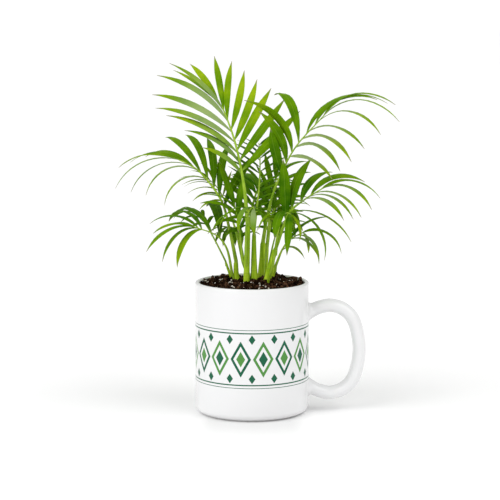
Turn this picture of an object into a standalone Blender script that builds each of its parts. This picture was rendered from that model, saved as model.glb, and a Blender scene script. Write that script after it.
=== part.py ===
"""Areca palm seedlings growing in a glazed mug. Blender 4.5, metres, +Z up.

The mug stands on the table plane with its axis at the origin and its handle towards +X.
Lengths below are in millimetres, and MM turns them into metres where a mesh is made.
"""

import math

import bmesh
import bpy
from mathutils import Vector

MM = 0.001
PLAY = 0.3  # gap between pieces that touch on the real plant

# Mug
MUG_RADIUS = 41.0
MUG_HEIGHT = 95.0
WALL = 3.3
FLOOR = 7.0
FOOT_OUTER = 36.5
FOOT_INNER = 32.5
FOOT_RECESS = 1.8
FOOT_EASE = 0.6  # the foot ring's inner edge slopes in by this much
LOWER_ROUND = 4.5
LOWER_LIFT = 0.8  # how far the lower round sits above the table
LOWER_START = -72.0  # where the lower round begins, in degrees
CORNER_ROUND = 6.0
MUG_SEGMENTS = 48

# Handle: half of its centre line, mirrored about its middle height
HANDLE_MIDDLE = 45.4
HANDLE_HALF_LINE = ((39.4, 27.8), (43.5, 28.6), (49.0, 30.7), (57.0, 32.0), (66.5, 28.8), (74.0, 19.5))
HANDLE_REACH = 77.6
HANDLE_THICKNESS = 9.6
HANDLE_WIDTH = 13.0
HANDLE_SIDES = 14

# Soil
SOIL_EDGE = 92.9
SOIL_CROWN = 95.4
SOIL_RINGS = (0.97, 0.8, 0.6, 0.4, 0.2)  # shares of the radius, for its domed top
SOIL_SHOULDER = 0.8  # how far its outer edge is rounded down
ROOT_DEPTH = 12.0

# Canes: foot on the soil (x, y), head (x, y, z), radius at the foot and at the head
CANES = {
    "cane_1": dict(foot=(-14.0, 12.0), head=(-19.0, 13.0, 107.0), radius=(1.2, 0.8)),
    "cane_2": dict(foot=(-10.5, 2.0), head=(-11.5, 1.5, 109.0), radius=(2.3, 1.6)),
    "cane_3": dict(foot=(-4.0, -6.6), head=(-3.0, -6.0, 136.0), radius=(2.3, 1.9)),
    "cane_4": dict(foot=(1.7, -3.5), head=(1.5, -2.0, 130.0), radius=(2.9, 1.4)),
    "cane_5": dict(foot=(6.0, 12.0), head=(8.0, 9.0, 122.0), radius=(2.6, 2.0)),
    "cane_6": dict(foot=(9.7, -6.6), head=(17.0, -9.5, 120.0), radius=(2.3, 1.7)),
    "cane_7": dict(foot=(13.6, 6.6), head=(17.0, 5.0, 105.0), radius=(1.6, 1.2)),
    "cane_8": dict(foot=(-3.0, 17.0), head=(-4.0, 17.5, 117.0), radius=(1.9, 1.5)),
    "cane_9": dict(foot=(9.0, 21.0), head=(11.0, 22.0, 116.0), radius=(1.8, 1.4)),
}
CANE_SIDES = 12
CANE_TAPER = ((0.25, 0.45), (0.6, 0.8))  # share of the height, share of the way to the head's radius
CANE_ROOT = 0.85  # radius of the buried end against the foot's

# Fronds. route: the stalk from its foot to its tip. face: where its upper side looks. Each side
# holds the length of every leaflet, the share of the route where it grows, its angle from the
# stalk, how far it bends down to its tip and how far it rises out of the frond's plane, in
# degrees, how far its breadth turns level (0 to 1) and its breadth: values spread evenly from the
# first leaflet to the last.
FRONDS = {
    "frond_upper_left": dict(
        route=((-3, -6, 136.5), (-6, -2, 166), (-12, 7, 194), (-20, 15, 216), (-24.5, 19.5, 223)),
        face=(0.15, -0.85, 0.5), width=5.8, radius=(1.6, 0.9, 0.6, 0.4),
        right=dict(count=8, lengths=(60, 45, 45), stations=(0.41, 0.99), spread=(55, 35, 8),
                   bend=(0, -5, 25), lift=(20, 20), level=(0.1, 0.1), width=(6.2, 5.6, 4.4)),
        left=dict(count=8, lengths=(36, 64, 66, 50), stations=(0.38, 0.98), spread=(28, 30, 5),
                  bend=(45, 55, 25), lift=(20, 20), level=(0.2, 0.1), width=(4.4, 5.6, 4.6)),
    ),
    "frond_mid_left": dict(
        route=((-11.5, 1.5, 109.5), (-16, -1, 132), (-22, 3, 153), (-36, 13, 171), (-46, 20, 177.5),
               (-54.5, 25, 181)),
        face=(0.25, -0.62, 0.74), width=5, radius=(1.4, 0.9, 0.6, 0.4),
        right=dict(count=8, lengths=(50, 64, 58), stations=(0.43, 0.99), spread=(36, 26, 4),
                   bend=(40, 65, 60), lift=(20, 35, 10), level=(0, 0.2, 0.3, 0.6), width=(6.6, 4)),
        left=dict(count=4, lengths=(46, 56), stations=(0.68, 0.98), spread=(50, 25), bend=(120, 80),
                  lift=(34, 24), level=(0.8, 1), width=(4.6, 4.6)),
    ),
    "frond_low_left": dict(
        route=((-14.25, 1.1, 100), (-18, -4, 119), (-26, -11, 130), (-41, -22, 137)),
        face=(0.15, -0.62, 0.77), width=4.4, radius=(1.1, 0.8, 0.5, 0.4),
        right=dict(count=5, lengths=(58, 42, 36), stations=(0.56, 0.87, 0.98), spread=(62, 70, 10),
                   bend=(100, 120, 65), lift=(16, 26), level=(0.2, 0.9), width=(8.6, 5)),
        left=dict(count=3, lengths=(42, 50), stations=(0.86, 0.98), spread=(20, 8), bend=(95, 65),
                  lift=(14, 20), level=(1, 1), width=(4.8, 4.4)),
    ),
    "frond_upper_right": dict(
        route=((8, 9, 122.5), (11, 3, 142), (17, -5, 164), (30, -17, 192), (50, -30, 216)),
        face=(-0.35, -0.7, 0.62), width=6, radius=(1.5, 0.9, 0.6, 0.4),
        right=dict(count=6, lengths=(50, 72), stations=(0.63, 0.99), spread=(40, 5), bend=(65, 90),
                   lift=(0, 20, 60), level=(1, 1), width=(5, 4.4)),
        left=dict(count=7, lengths=(34, 64, 62), stations=(0.5, 0.99), spread=(34, 44, 8),
                  bend=(10, 105, 85), lift=(30, 20, 15), level=(0, 0.3, 1), width=(8.2, 4.6)),
    ),
    "frond_mid_right": dict(
        route=((17.1, -9.6, 120.5), (26, -14, 145), (37, -19, 156), (50, -26, 165)),
        face=(-0.25, -0.6, 0.76), width=5.4, radius=(1.3, 0.9, 0.6, 0.4),
        right=dict(count=4, lengths=(55, 48), stations=(0.58, 0.97), spread=(20, 10), bend=(90, 80),
                   lift=(50, 12), level=(1, 1), width=(4.4, 4.4)),
        left=dict(count=5, lengths=(44, 38, 50), stations=(0.36, 0.96), spread=(26, 50, 12),
                  bend=(0, 85, 95), lift=(32, 24), level=(0, 0.2, 0.8), width=(8, 8, 5.2)),
    ),
    "frond_low_right": dict(
        route=((17.1, 5, 105.5), (22, 2, 118), (28, -2, 126), (38, -8, 132)),
        face=(-0.2, -0.62, 0.76), width=4.3, radius=(1.1, 0.7, 0.5, 0.4),
        right=dict(count=4, lengths=(30, 48, 20), stations=(0.3, 0.94), spread=(26, 10, 40),
                   bend=(90, 120), lift=(20, 45, 20), width=(2.8, 4, 3.2)),
        left=dict(lengths=(36, 40), stations=(0.6, 0.91), spread=(28, 11), bend=(70, 115), lift=(16, 26),
                  width=(5.8, 4.2)),
    ),
    "frond_centre": dict(
        route=((1.5, -1.9, 130.5), (3.5, 1, 148), (5.2, 6, 164), (5.8, 13, 180), (5, 20, 193)),
        face=(0, -0.92, 0.4), width=3.2, radius=(1, 0.7, 0.5, 0.3),
        right=dict(lengths=(9, 13, 19, 24, 26, 26, 25, 23, 20, 16), stations=(0.28, 0.97),
                   spread=(58, 40), bend=(10, 30), lift=(0, 6)),
        left=dict(lengths=(18, 22, 25, 28, 29, 29, 27, 24, 20, 16), stations=(0.27, 0.94),
                  spread=(60, 40), bend=(5, 30), lift=(-4, 14)),
    ),
    "frond_back": dict(
        route=((-4, 17.5, 117.5), (0, 28, 144), (4.5, 40, 158), (8, 50.5, 161), (11, 59, 157.5)),
        face=(0, -0.35, 0.94), width=7, radius=(1.3, 0.8, 0.6, 0.4),
        right=dict(lengths=(24, 30, 34, 36, 37, 35, 32, 28), stations=(0.34, 0.96), spread=(54, 20),
                   bend=(40, 90), lift=(24, 24)),
        left=dict(lengths=(26, 32, 35, 36, 35, 32, 28, 25), stations=(0.37, 0.92), spread=(50, 20),
                  bend=(40, 90), lift=(24, 24)),
    ),
    "frond_back_left": dict(
        route=((-6.5, 17.4, 106), (-12, 20, 130), (-20, 23, 151), (-26, 26, 161), (-32, 30, 166)),
        face=(0.25, -0.7, 0.66), width=2.8, radius=(1.1, 0.7, 0.4, 0.3),
        right=dict(lengths=(22, 26, 26, 24), stations=(0.74, 0.97), spread=(40, 12), bend=(20, 50),
                   lift=(15, 15)),
        left=dict(lengths=(24, 26, 26, 25, 24, 23), stations=(0.68, 0.99), spread=(50, 22), bend=(80, 50),
                  lift=(15, 15)),
    ),
    "frond_back_right": dict(
        route=((11.1, 22.1, 116.5), (14, 32, 136), (18, 44, 145), (22, 55, 143)),
        face=(-0.15, -0.4, 0.9), width=5.4, radius=(1.2, 0.8, 0.5, 0.4),
        right=dict(lengths=(26, 30, 34, 34, 30), stations=(0.4, 0.96), spread=(48, 20), bend=(55, 95),
                   lift=(24, 24)),
        left=dict(lengths=(26, 28, 28, 24, 18), stations=(0.44, 0.91), spread=(48, 20), bend=(55, 95),
                  lift=(24, 24)),
    ),
    "frond_inner_left": dict(
        route=((-6.9, -5.4, 112), (-8.4, -3, 128), (-10, -0.8, 140), (-12.5, 0.6, 150)),
        face=(0.1, -0.8, 0.6), width=5.4, radius=(1, 0.7, 0.5, 0.3),
        right=dict(lengths=(22, 30, 36), stations=(0.5, 0.97), spread=(24, 4), bend=(30, 20),
                   lift=(36, 34), width=(4.6, 6.4)),
        left=dict(lengths=(16, 25, 31, 27), stations=(0.5, 0.92), spread=(50, 40, 32, 24),
                  bend=(130, 120, 60, 60), lift=(30, 30, 20, 20), width=(6, 6.6, 6, 5)),
    ),
    "frond_inner_right": dict(
        route=((9.7, 13.3, 108), (12, 14, 134), (14.5, 14.5, 154), (19, 18, 172)),
        face=(-0.1, -0.9, 0.42), width=5.6, radius=(1, 0.7, 0.5, 0.3),
        right=dict(lengths=(27, 30, 31, 30, 26), stations=(0.45, 0.95), spread=(44, 20), bend=(50, 60),
                   lift=(4, 4)),
        left=dict(lengths=(20, 26, 30, 30, 26), stations=(0.44, 0.9), spread=(34, 16), bend=(10, 25),
                  lift=(4, 4)),
    ),
    "frond_front_left": dict(
        route=((-4.2, -9.4, 112), (-4, -11, 134), (-2.5, -14, 146), (0, -20, 150.5), (2, -26, 150)),
        face=(0, 0.3, 0.95), width=4.8, radius=(0.9, 0.6, 0.5, 0.3),
        right=dict(lengths=(26, 32, 33, 30, 24), stations=(0.62, 0.97), spread=(82, 84, 72, 48, 18),
                   bend=(70, 90, 105, 110, 110), lift=(20, 5), width=(5.2, 4.4)),
        left=dict(lengths=(28, 30, 27, 22), stations=(0.66, 0.94), spread=(80, 84, 66, 34),
                  bend=(60, 85, 100, 110), lift=(20, 5), width=(5.2, 4.4)),
    ),
    "frond_front_right": dict(
        route=((15, -11.1, 108), (18, -14, 130), (21, -19, 143), (24, -26, 147.5), (27, -32, 147)),
        face=(0, 0.35, 0.94), width=5.4, radius=(0.9, 0.6, 0.5, 0.3),
        right=dict(lengths=(24, 28, 36, 40), stations=(0.68, 0.97), spread=(75, 62, 42, 34),
                   bend=(110, 105, 100, 95), lift=(15, 5), width=(4.6, 5, 6.6, 5.4)),
        left=dict(lengths=(57, 52, 24), stations=(0.8, 0.95), spread=(48, 36, 20), bend=(86, 115, 100),
                  lift=(15, 5), level=(0.6, 0.6), width=(5.8, 5.2, 4)),
    ),
    "frond_far_left": dict(
        route=((-19.1, 13, 107.5), (-24, 12.5, 117.5), (-30, 12, 129), (-36, 13, 138), (-42, 14, 144)),
        face=(0.35, -0.5, 0.8), width=3.6, radius=(0.7, 0.6, 0.5, 0.3),
        right=dict(lengths=(16, 17, 16, 14), stations=(0.66, 0.97), spread=(48, 15), bend=(70, 90),
                   lift=(20, 20)),
        left=dict(lengths=(16, 20, 20), stations=(0.7, 0.92), spread=(48, 20), bend=(70, 90),
                  lift=(20, 20)),
    ),
    "frond_far_right": dict(
        route=((12.1, 22.4, 102), (16, 28, 120), (20, 37, 131), (23, 48, 132)),
        face=(-0.2, -0.35, 0.9), width=5.2, radius=(0.9, 0.6, 0.5, 0.3),
        right=dict(lengths=(22, 26, 28, 26), stations=(0.5, 0.96), spread=(50, 20), bend=(65, 95),
                   lift=(22, 22)),
        left=dict(lengths=(22, 26, 28, 24), stations=(0.54, 0.91), spread=(50, 20), bend=(65, 95),
                  lift=(22, 22)),
    ),
    "frond_low_back": dict(
        route=((-5, 19.7, 101), (-8, 26, 118), (-12, 36, 128), (-15, 49, 128)),
        face=(0.1, -0.3, 0.95), width=5.2, radius=(0.9, 0.6, 0.5, 0.3),
        right=dict(lengths=(22, 26, 28, 24), stations=(0.5, 0.96), spread=(50, 22), bend=(75, 100),
                   lift=(18, 18)),
        left=dict(lengths=(22, 26, 28, 24), stations=(0.55, 0.91), spread=(50, 22), bend=(75, 100),
                  lift=(18, 18)),
    ),
}
# share of the length, share of the width
LEAFLET_STEPS = ((0.07, 0.36), (0.24, 0.82), (0.44, 1.0), (0.64, 0.96), (0.84, 0.54))
LEAFLET_RIDGE = 0.3  # how far its midrib stands up
LEAFLET_FOLD = 0.3  # how far its edges hang down
LEAFLET_SEAT = 1.1  # half of the stalk's length that a leaflet grows from
SEAT_SPACING = 2.64  # least distance between the middles of two seats
LEAFLET_LEVEL = (0.6, 0.8)  # how far breadths turn level where a row says nothing
LEVELLED_BY = 0.45  # share of the length over which a breadth turns
STRAIGHT = 0.01  # least bend, in radians, that an arc is drawn with
SHORT_LEAFLET = 40.0  # leaflets below this length are narrower,
NARROWING = 0.01  # by this share for each millimetre
BARE_STEPS = 4  # lengths of stalk below the first leaflet
STALK_END = 1.0  # least length of stalk past the last leaflet

MATERIALS = {
    "glaze": dict(colour=(0.86, 0.86, 0.85), roughness=0.12),
    "soil": dict(colour=(0.030, 0.018, 0.012), roughness=0.95),
    "cane": dict(colour=(0.28, 0.47, 0.04), roughness=0.45),
    "leaf": dict(colour=(0.10, 0.27, 0.012), roughness=0.42),
}


def clear_scene():
    for obj in list(bpy.data.objects):
        bpy.data.objects.remove(obj, do_unlink=True)


def make_material(name, colour, roughness):
    material = bpy.data.materials.new(name)
    material.use_nodes = True
    shader = material.node_tree.nodes["Principled BSDF"]
    shader.inputs["Base Color"].default_value = (*colour, 1.0)
    shader.inputs["Roughness"].default_value = roughness
    shader.inputs["Metallic"].default_value = 0.0
    return material


def add_object(name, bm, kind):
    """An object from a mesh drawn in millimetres, with its own material."""
    bmesh.ops.scale(bm, vec=(MM, MM, MM), verts=bm.verts)
    bmesh.ops.recalc_face_normals(bm, faces=bm.faces)
    mesh = bpy.data.meshes.new(name)
    bm.to_mesh(mesh)
    bm.free()
    mesh.materials.append(make_material(f"{name}_{kind}", **MATERIALS[kind]))
    obj = bpy.data.objects.new(name, mesh)
    bpy.context.scene.collection.objects.link(obj)
    return obj


def apply_boolean(target, other, operation):
    """Join or cut with another solid, which is then removed."""
    modifier = target.modifiers.new(operation.lower(), "BOOLEAN")
    modifier.operation = operation
    modifier.solver = "EXACT"
    modifier.object = other
    bpy.context.view_layer.objects.active = target
    bpy.ops.object.modifier_apply(modifier=modifier.name)
    bpy.data.objects.remove(other, do_unlink=True)


def arc(centre, radius, start, end, steps=6):
    """Points of an arc in the profile plane, angles in degrees from +X."""
    angles = [math.radians(start + (end - start) * i / steps) for i in range(steps + 1)]
    return [(centre[0] + radius * math.cos(a), centre[1] + radius * math.sin(a)) for a in angles]


def spun(profile):
    """A closed solid of revolution from a profile that starts and ends on the axis."""
    bm = bmesh.new()
    verts = [bm.verts.new((r, 0.0, z)) for r, z in profile]
    edges = [bm.edges.new(pair) for pair in zip(verts, verts[1:])]
    bmesh.ops.spin(bm, geom=verts + edges, axis=(0, 0, 1), cent=(0, 0, 0),
                   steps=MUG_SEGMENTS, angle=math.tau)
    bmesh.ops.remove_doubles(bm, verts=bm.verts, dist=0.001)
    return bm


def tube(path, half_sizes, sides, across=(1, 0, 0)):
    """A capped tube along a path. half_sizes is one (width, depth) pair for each point."""
    bm = bmesh.new()
    path = [Vector(p) for p in path]
    rings = []
    for i, point in enumerate(path):
        tangent = (path[min(i + 1, len(path) - 1)] - path[max(i - 1, 0)]).normalized()
        side = Vector(across)
        side = (side - tangent * side.dot(tangent)).normalized()
        up = tangent.cross(side)
        width, depth = half_sizes[i]
        ring = []
        for k in range(sides):
            angle = math.tau * k / sides
            ring.append(bm.verts.new(point + side * width * math.cos(angle) + up * depth * math.sin(angle)))
        rings.append(ring)
    for lower, upper in zip(rings, rings[1:]):
        for k in range(sides):
            bm.faces.new((lower[k], lower[(k + 1) % sides], upper[(k + 1) % sides], upper[k]))
    bm.faces.new(list(reversed(rings[0])))
    bm.faces.new(rings[-1])
    return bm


def smooth(points, steps=24):
    """A Catmull-Rom curve through the points."""
    points = [Vector(p) for p in points]
    padded = [2 * points[0] - points[1], *points, 2 * points[-1] - points[-2]]
    curve = []
    for a, b, c, d in zip(padded, padded[1:], padded[2:], padded[3:]):
        for i in range(steps):
            s = i / steps
            curve.append(0.5 * (2 * b + (c - a) * s + (2 * a - 5 * b + 4 * c - d) * s ** 2
                                + (3 * b - a - 3 * c + d) * s ** 3))
    return [*curve, points[-1]]


def along(curve, share):
    """The point and the direction of a curve at a share of its length."""
    lengths = [0.0]
    for a, b in zip(curve, curve[1:]):
        lengths.append(lengths[-1] + (b - a).length)
    target = share * lengths[-1]
    i = 0
    while i < len(curve) - 2 and lengths[i + 1] < target:
        i += 1
    step = (target - lengths[i]) / (lengths[i + 1] - lengths[i])
    before = curve[max(i - 1, 0)]
    after = curve[min(i + 2, len(curve) - 1)]
    return curve[i].lerp(curve[i + 1], step), (after - before).normalized()


def between(values, share):
    """Values spread evenly over 0 to 1, read at a share."""
    place = share * (len(values) - 1)
    i = min(int(place), len(values) - 2)
    return values[i] + (values[i + 1] - values[i]) * (place - i)


def build_mug():
    rim = WALL / 2
    inner = MUG_RADIUS - WALL
    profile = [(0.0, FOOT_RECESS), (FOOT_INNER, FOOT_RECESS), (FOOT_INNER + FOOT_EASE, 0.0),
               (FOOT_OUTER, 0.0)]
    profile += arc((MUG_RADIUS - LOWER_ROUND, LOWER_ROUND + LOWER_LIFT), LOWER_ROUND, LOWER_START, 0)
    profile += arc((MUG_RADIUS - rim, MUG_HEIGHT - rim), rim, 0, 180, steps=8)
    profile += arc((inner - CORNER_ROUND, FLOOR + CORNER_ROUND), CORNER_ROUND, 0, -90)
    profile.append((0.0, FLOOR))
    mug = add_object("mug", spun(profile), "glaze")

    upper = [(x, 0.0, HANDLE_MIDDLE + h) for x, h in HANDLE_HALF_LINE]
    lower = [(x, 0.0, HANDLE_MIDDLE - h) for x, h in reversed(HANDLE_HALF_LINE)]
    line = smooth([*upper, (HANDLE_REACH, 0.0, HANDLE_MIDDLE), *lower], steps=3)
    sizes = [(HANDLE_WIDTH / 2, HANDLE_THICKNESS / 2)] * len(line)
    handle = add_object("handle", tube(line, sizes, HANDLE_SIDES, across=(0, 1, 0)), "glaze")
    apply_boolean(mug, handle, "UNION")
    return mug


def soil_height(x, y):
    share = math.hypot(x, y) / (MUG_RADIUS - WALL)
    return SOIL_CROWN - (SOIL_CROWN - SOIL_EDGE) * share ** 2


def cane_line(cane):
    """Foot below the soil, a slightly bulging base, and the head."""
    x, y = cane["foot"]
    foot = Vector((x, y, soil_height(x, y)))
    head = Vector(cane["head"])
    root = foot - (head - foot).normalized() * ROOT_DEPTH
    return root, foot, head


def cane_tube(cane, grow=0.0):
    root, foot, head = cane_line(cane)
    thick, thin = cane["radius"]
    axis = (head - root).normalized()
    path = [root - axis * grow, foot, *(foot.lerp(head, share) for share, _ in CANE_TAPER), head]
    radii = [thick * CANE_ROOT, thick, *(between((thick, thin), way) for _, way in CANE_TAPER), thin]
    return tube(path, [(r + grow, r + grow) for r in radii], CANE_SIDES)


def build_soil():
    radius = MUG_RADIUS - WALL - PLAY
    bottom = FLOOR + PLAY
    top = [(radius * share, soil_height(radius * share, 0.0)) for share in SOIL_RINGS]
    profile = [(0.0, bottom), (radius - CORNER_ROUND, bottom)]
    profile += arc((radius - CORNER_ROUND, bottom + CORNER_ROUND), CORNER_ROUND, -75, 0, steps=4)
    profile += [(radius, SOIL_EDGE - SOIL_SHOULDER), *top, (0.0, SOIL_CROWN)]
    soil = add_object("potting_soil", spun(profile), "soil")
    for name, cane in CANES.items():
        pocket = add_object(f"pocket_{name}", cane_tube(cane, grow=PLAY), "soil")
        apply_boolean(soil, pocket, "DIFFERENCE")
    return soil


def leaflet_places(frond):
    """Every leaflet from foot to tip as (share of the route, side, shape)."""
    places = []
    for side, sign in (("right", 1), ("left", -1)):
        row = frond[side]
        count = row.get("count", len(row["lengths"]))
        for i in range(count):
            share = i / (count - 1)
            length = between(row["lengths"], share)
            shape = {kind: math.radians(between(row[kind], share)) for kind in ("spread", "bend", "lift")}
            shape["level"] = between(row.get("level", LEAFLET_LEVEL), share)
            shape["width"] = between(row.get("width", (frond["width"],) * 2), share)
            shape["width"] *= min(1.0, 1.0 + (length - SHORT_LEAFLET) * NARROWING)
            shape["length"] = length
            places.append((between(row["stations"], share), sign, shape))
    return sorted(places, key=lambda place: place[:2])


def stalk_seats(places, length):
    """Stretches of the stalk that leaflets grow from; a facing pair shares one."""
    seats = []
    for place in places:
        centre = place[0] * length
        crowded = seats and centre - seats[-1]["centre"] < SEAT_SPACING
        if crowded and place[1] not in [held[1] for held in seats[-1]["places"]]:
            seats[-1]["places"].append(place)
            continue
        if crowded:
            centre = seats[-1]["centre"] + SEAT_SPACING
        seats.append({"centre": centre, "places": [place]})
    return seats


def frame_at(curve, face, share):
    point, tangent = along(curve, share)
    across = tangent.cross(face).normalized()
    return point, tangent, across, across.cross(tangent)


def extrude_to(bm, face, section, targets):
    """Extrude one face and move its corners from section to the targets; also gives its ridge."""
    face = bmesh.ops.extrude_discrete_faces(bm, faces=[face])["faces"][0]
    corners = list(face.verts)
    moved = []
    for place, target in zip(section, targets):
        corner = min(corners, key=lambda vert: (vert.co - place).length)
        corners.remove(corner)
        moved.append((corner, target))
    for corner, target in moved:
        corner.co = target
    return face, (moved[1][0], moved[3][0])


def crease_sides(face, ridges):
    """Fold the four sides behind a face alike, so a twisted blade keeps its thickness."""
    for edge in list(face.edges):
        side = next(near for near in edge.link_faces if near is not face)
        ring = list(side.verts)
        ridge = next(vert for vert in ring if vert in ridges)
        bmesh.utils.face_split(side, ridge, ring[ring.index(ridge) - 2])


def grow_leaflet(bm, face, section, frame, sign, shape):
    """A folded and tapering leaflet, bent down along an arc, out of one face of the stalk."""
    point, tangent, across, normal = frame
    lift, spread, length = shape["lift"], shape["spread"], shape["length"]
    outward = across * sign * math.cos(lift) + normal * math.sin(lift)
    heading = tangent * math.cos(spread) + outward * math.sin(spread)
    down = Vector((0, 0, -1))
    down = (down - heading * down.dot(heading)).normalized()
    bend = shape["bend"] if abs(shape["bend"]) > STRAIGHT else STRAIGHT
    wide = (tangent - heading * tangent.dot(heading)).normalized()
    level = heading.cross(down)
    if level.dot(wide) < 0:
        level.negate()
    flip = -1 if heading.cross(wide).dot(normal) < 0 else 1

    def centre_at(share):
        angle = bend * share
        return point + (heading * math.sin(angle) + down * (1 - math.cos(angle))) * (length / bend)

    for share, breadth in LEAFLET_STEPS:
        centre = centre_at(share)
        way = heading * math.cos(bend * share) + down * math.sin(bend * share)
        side = wide.lerp(level, shape["level"] * min(1.0, share / LEVELLED_BY))
        side = (side - way * side.dot(way)).normalized()
        up = way.cross(side) * flip
        half = side * shape["width"] * breadth / 2
        targets = (centre - half - up * LEAFLET_FOLD, centre + up * LEAFLET_RIDGE,
                   centre + half - up * LEAFLET_FOLD, centre - up * LEAFLET_RIDGE)
        face, ridges = extrude_to(bm, face, section, targets)
        crease_sides(face, ridges)
        section = targets
    face, _ = extrude_to(bm, face, section, section)
    bmesh.ops.pointmerge(bm, verts=list(face.verts), merge_co=centre_at(1.0))


def build_frond(name, frond):
    curve = smooth(frond["route"])
    length = sum((b - a).length for a, b in zip(curve, curve[1:]))
    face_way = Vector(frond["face"]).normalized()
    seats = stalk_seats(leaflet_places(frond), length)

    first = seats[0]["centre"] - LEAFLET_SEAT
    stops = [first * i / BARE_STEPS for i in range(BARE_STEPS)]
    for seat in seats:
        stops += [seat["centre"] - LEAFLET_SEAT, seat["centre"] + LEAFLET_SEAT]
    tip_length = max(length, stops[-1] + STALK_END)
    bm = bmesh.new()
    rings = []
    for stop in [*stops, tip_length]:
        share = min(stop / length, 1.0)
        point, tangent, across, normal = frame_at(curve, face_way, share)
        point = point + tangent * max(stop - length, 0.0)
        radius = between(frond["radius"], share)
        offsets = (across, normal, -across, -normal)
        rings.append([bm.verts.new(point + way * radius) for way in offsets])
    walls = []
    for lower, upper in zip(rings, rings[1:]):
        walls.append([bm.faces.new((lower[k], lower[(k + 1) % 4], upper[(k + 1) % 4], upper[k]))
                      for k in range(4)])
    bm.faces.new(list(reversed(rings[0])))
    bm.faces.new(rings[-1])
    bm.normal_update()

    for seat in seats:
        row = stops.index(seat["centre"] - LEAFLET_SEAT)
        lower = [vert.co.copy() for vert in rings[row]]
        upper = [vert.co.copy() for vert in rings[row + 1]]
        point, *axes = frame_at(curve, face_way, min(seat["centre"] / length, 1.0))
        frame = (point + axes[0] * max(seat["centre"] - length, 0.0), *axes)
        for _, sign, shape in seat["places"]:
            if sign > 0:
                wall = walls[row][0]
                section = (lower[0], lower[1], upper[1], upper[0])
            else:
                wall = walls[row][1]
                section = (lower[2], lower[1], upper[1], upper[2])
            grow_leaflet(bm, wall, section, frame, sign, shape)
    return add_object(name, bm, "leaf")


def main():
    clear_scene()
    build_mug()
    build_soil()
    for name, cane in CANES.items():
        add_object(name, cane_tube(cane), "cane")
    for name, frond in FRONDS.items():
        build_frond(name, frond)


main()
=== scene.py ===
import math
import random

import bpy
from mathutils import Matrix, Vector, noise


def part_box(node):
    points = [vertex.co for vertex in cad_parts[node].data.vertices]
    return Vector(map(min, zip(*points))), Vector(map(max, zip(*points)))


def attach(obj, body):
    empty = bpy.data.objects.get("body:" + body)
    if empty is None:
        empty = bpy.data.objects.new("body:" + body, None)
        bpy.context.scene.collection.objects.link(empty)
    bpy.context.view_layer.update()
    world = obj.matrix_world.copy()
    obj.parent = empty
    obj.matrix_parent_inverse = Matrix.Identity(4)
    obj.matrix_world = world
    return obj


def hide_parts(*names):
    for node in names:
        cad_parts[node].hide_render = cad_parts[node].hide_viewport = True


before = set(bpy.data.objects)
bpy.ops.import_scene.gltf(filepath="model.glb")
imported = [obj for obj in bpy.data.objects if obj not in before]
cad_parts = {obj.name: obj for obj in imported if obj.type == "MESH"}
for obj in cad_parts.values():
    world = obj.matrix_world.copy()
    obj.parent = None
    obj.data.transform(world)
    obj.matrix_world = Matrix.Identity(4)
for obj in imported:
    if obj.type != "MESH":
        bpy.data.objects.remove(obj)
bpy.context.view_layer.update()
mm = 0.001
rng = random.Random(23)
print("frame loaded:", len(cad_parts), "nodes")


# materials: sums on sockets, and nodes by name

class Signal:
    # a socket that can be used in plain arithmetic

    def __init__(self, finish, socket):
        self.finish = finish
        self.socket = socket

    def math(self, operation, *terms):
        return self.finish.node("ShaderNodeMath", {"operation": operation}, dict(enumerate(terms)))

    def __add__(self, other):
        return self.math("ADD", self, other)

    def __radd__(self, other):
        return self.math("ADD", other, self)

    def __sub__(self, other):
        return self.math("SUBTRACT", self, other)

    def __rsub__(self, other):
        return self.math("SUBTRACT", other, self)

    def __mul__(self, other):
        return self.math("MULTIPLY", self, other)

    def __rmul__(self, other):
        return self.math("MULTIPLY", other, self)

    def __truediv__(self, other):
        return self.math("DIVIDE", self, other)

    def __neg__(self):
        return self.math("MULTIPLY", self, -1.0)

    def __abs__(self):
        return self.math("ABSOLUTE", self)

    def __lt__(self, other):
        return self.math("LESS_THAN", self, other)

    def __gt__(self, other):
        return self.math("GREATER_THAN", self, other)

    def fraction(self):
        return self.math("FRACT", self)

    def whole(self):
        return self.math("FLOOR", self)

    def wave(self):
        return self.math("SINE", self)

    def most(self, other):
        return self.math("MAXIMUM", self, other)

    def ramp(self, low, high):
        # 0 below low, 1 above high, soft between
        return self.finish.node("ShaderNodeMapRange", {"interpolation_type": "SMOOTHSTEP"},
                                {"Value": self, "From Min": low, "From Max": high})


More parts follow.
